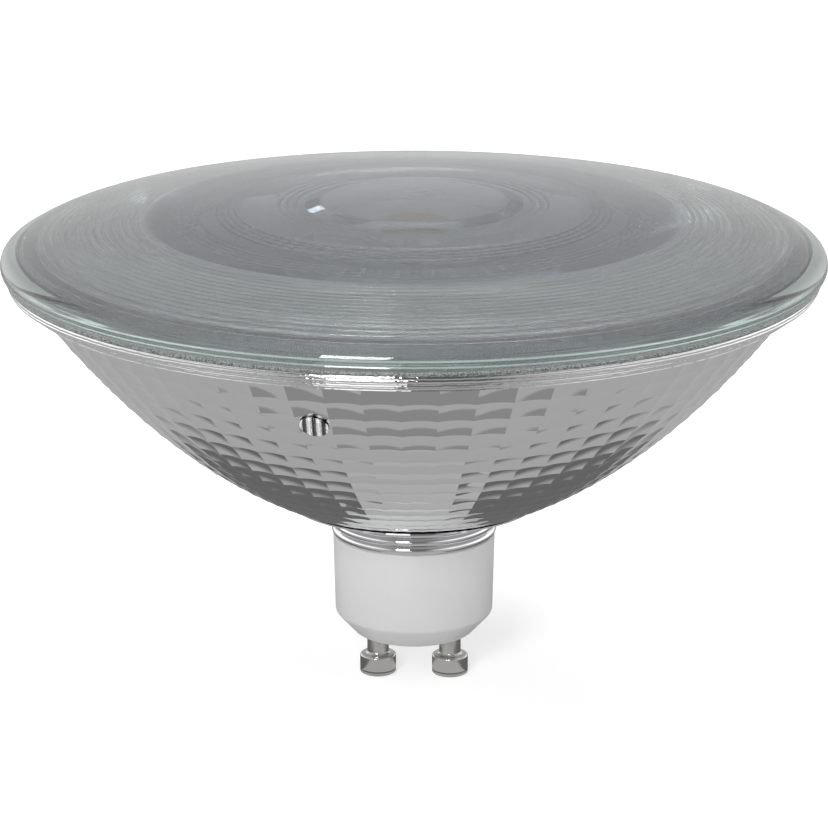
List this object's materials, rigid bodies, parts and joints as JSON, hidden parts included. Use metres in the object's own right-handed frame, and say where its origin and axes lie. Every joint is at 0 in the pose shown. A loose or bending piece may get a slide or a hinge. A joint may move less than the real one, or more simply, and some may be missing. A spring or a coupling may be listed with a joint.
{
  "type": "led spotlight bulb",
  "caption": "Sealed reflector spotlight lamp with a faceted mirror bowl, stepped lens under domed glass and a two-pin twist-lock base.",
  "frame": {"origin": "on the lamp's axis, in the plane of the contact pins' tips", "axes": "+Z along the axis from the pins to the front glass, the two pins stand along X, -Y faces the viewer of the picture"},
  "size_m": [0.111, 0.111, 0.0682],
  "materials": {
    "clear_glass": "pressed, polished, faintly green",
    "lens_acrylic": "moulded clear plastic, ribbed and stepped",
    "adhesive": "cured, grainy",
    "mirror_coat": "vacuum-coated pressed glass, bright",
    "white_plastic": "moulded, satin",
    "nickel": "turned, satin nickel plate",
    "cement": "dry, chalky",
    "insulator": "thin wall, translucent",
    "circuit_board": "green solder mask",
    "capacitor_can": "shrunk sleeve",
    "film_box": "dipped",
    "ferrite": "sintered",
    "chip_epoxy": "moulded epoxy",
    "resistor_coat": "lacquered",
    "lead_wire": "insulated lead",
    "aluminium": "turned",
    "thermal_rubber": "soft pad",
    "board_white": "white mask on aluminium",
    "ceramic": "fired",
    "phosphor": "phosphor in silicone",
    "screw_steel": "zinc plate"
  },
  "bodies": {
    "root": {"front_glass": "clear_glass", "lens_plate": "lens_acrylic", "rim_seal": "adhesive", "reflector_bowl": "mirror_coat", "vent_plug": "clear_glass", "base_cup": "white_plastic", "contact_pin_left": "nickel", "contact_pin_right": "nickel", "base_cement": "cement", "driver_sleeve": "insulator", "driver_board": "circuit_board", "bulk_capacitor": "capacitor_can", "film_capacitor": "film_box", "choke": "ferrite", "bridge_rectifier": "chip_epoxy", "driver_chip": "chip_epoxy", "fuse_resistor": "resistor_coat", "supply_lead_left": "lead_wire", "supply_lead_right": "lead_wire", "led_lead_plus": "lead_wire", "led_lead_minus": "lead_wire", "heat_sink": "aluminium", "thermal_pad": "thermal_rubber", "led_board": "board_white", "led_package": "ceramic", "phosphor_disc": "phosphor", "led_holder": "white_plastic", "holder_screws": "screw_steel"}
  },
  "joints": []
}
